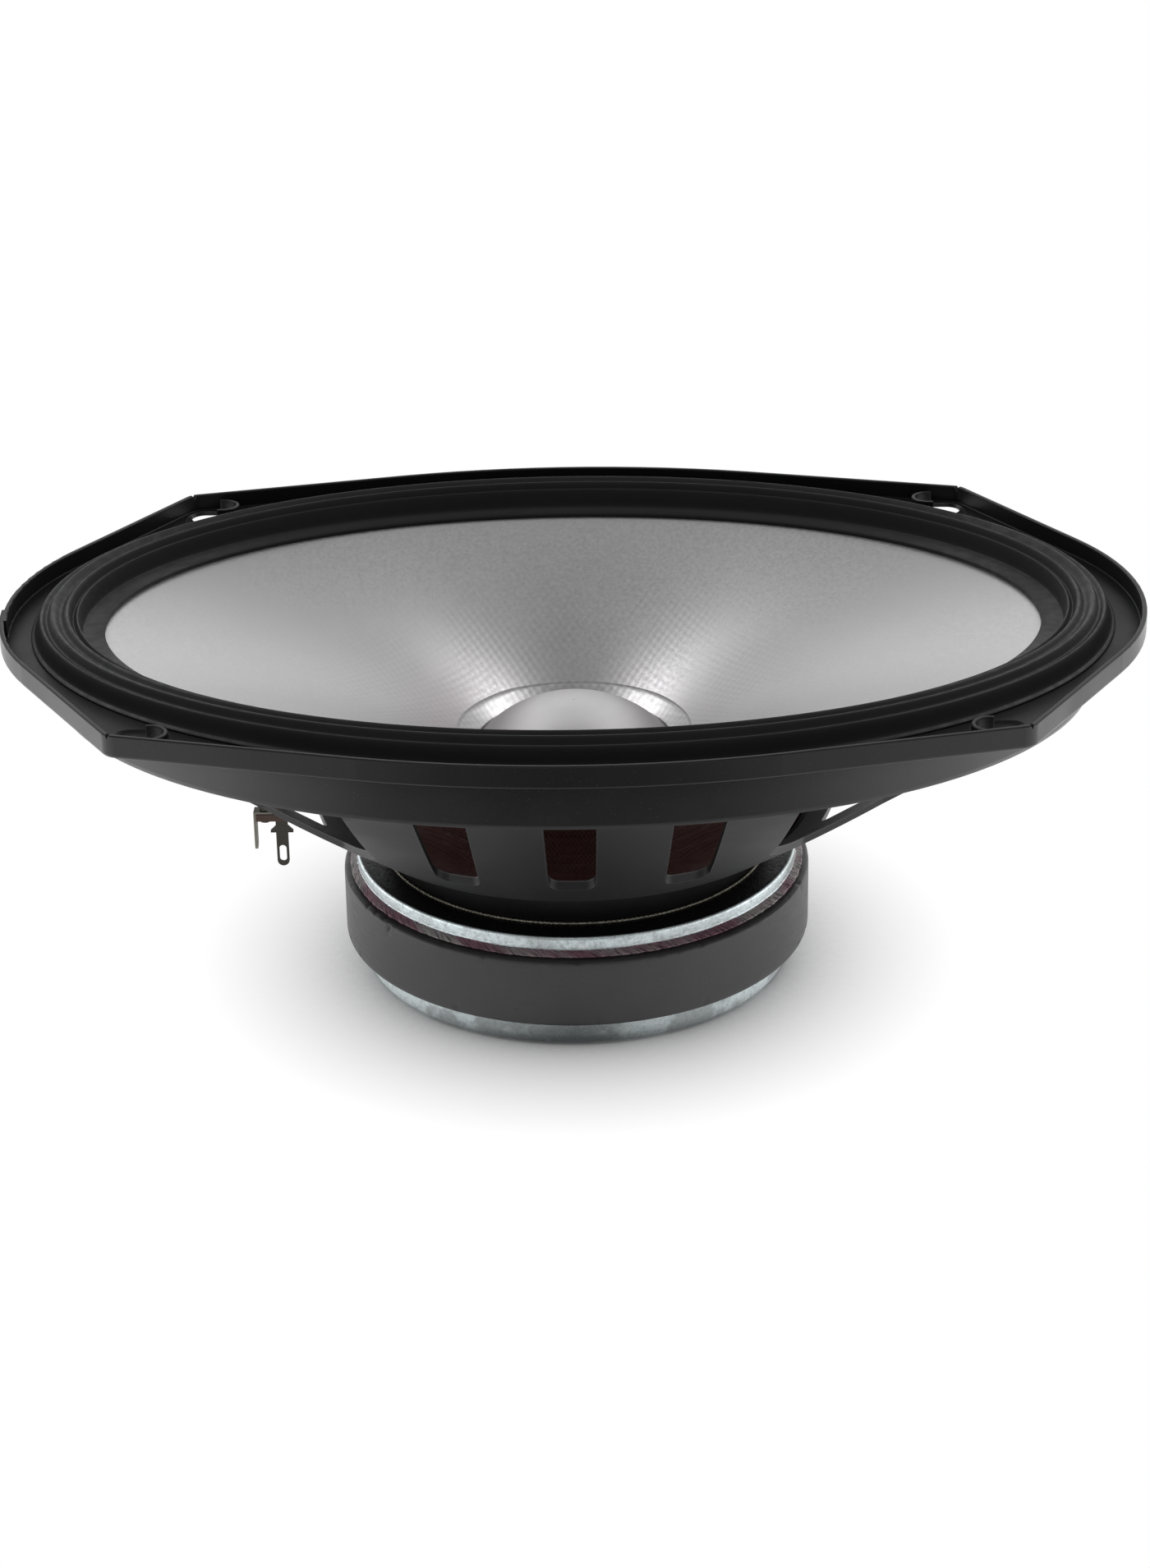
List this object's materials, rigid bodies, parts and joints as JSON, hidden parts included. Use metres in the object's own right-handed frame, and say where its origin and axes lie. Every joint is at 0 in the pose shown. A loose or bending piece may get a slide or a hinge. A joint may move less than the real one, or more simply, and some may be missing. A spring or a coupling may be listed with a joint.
{
  "type": "oval loudspeaker driver",
  "caption": "Oval car loudspeaker driver with a woven cone, ribbed rubber surround, windowed pressed steel basket and ring magnet; the cone and coil slide along the axis.",
  "frame": {"origin": "on the driver's axis, in the plane of the flange's underside, at the centre of the mounting slots", "axes": "+Z along the axis, out of the cone; +X along the oval's long way; the terminals are at the -X end"},
  "size_m": [0.2347, 0.1658, 0.0803],
  "materials": {
    "basket_paint": "satin",
    "surround_rubber": "satin",
    "cone_weave": "metallised woven cloth, satin",
    "cap_metallic": "metallised, satin",
    "clear_adhesive": "clear",
    "former_film": "amber film",
    "coil_wire": "enamelled copper",
    "collar_kraft": "kraft",
    "dark_adhesive": "glossy",
    "spider_cloth": "impregnated weave",
    "zinc_steel": "clear zinc plate",
    "ferrite": "ground, satin",
    "bare_steel": "turned",
    "rivet_steel": "zinc plate",
    "phenolic_board": "laminated",
    "tinned_brass": "dull tin plate",
    "solder": "bright",
    "tinsel_braid": "braided"
  },
  "bodies": {
    "chassis": {"basket": "basket_paint", "surround": "surround_rubber", "spider": "spider_cloth", "spider_adhesive": "dark_adhesive", "top_plate": "zinc_steel", "magnet": "ferrite", "magnet_adhesive_top": "dark_adhesive", "magnet_adhesive_bottom": "dark_adhesive", "back_plate": "zinc_steel", "pole_piece": "bare_steel", "basket_rivets": "rivet_steel", "terminal_board": "phenolic_board", "terminal_tab_positive": "tinned_brass", "terminal_tab_negative": "tinned_brass", "terminal_tab_rivets": "tinned_brass", "terminal_board_rivet": "rivet_steel", "tinsel_lead_positive": "tinsel_braid", "tinsel_lead_negative": "tinsel_braid"},
    "moving_assembly": {"cone": "cone_weave", "dust_cap": "cap_metallic", "dust_cap_adhesive": "clear_adhesive", "voice_coil_former": "former_film", "voice_coil_winding": "coil_wire", "former_collar": "collar_kraft", "neck_adhesive": "dark_adhesive", "lead_solder_joints": "solder"}
  },
  "joints": [
    {"name": "cone_excursion", "type": "slide", "parent": "chassis", "child": "moving_assembly", "axis": [0, 0, 1], "range_m": [-0.006, 0.006], "stiffness_N_per_m": 2500, "deforming": ["surround", "spider", "tinsel_lead_positive", "tinsel_lead_negative"]}
  ]
}
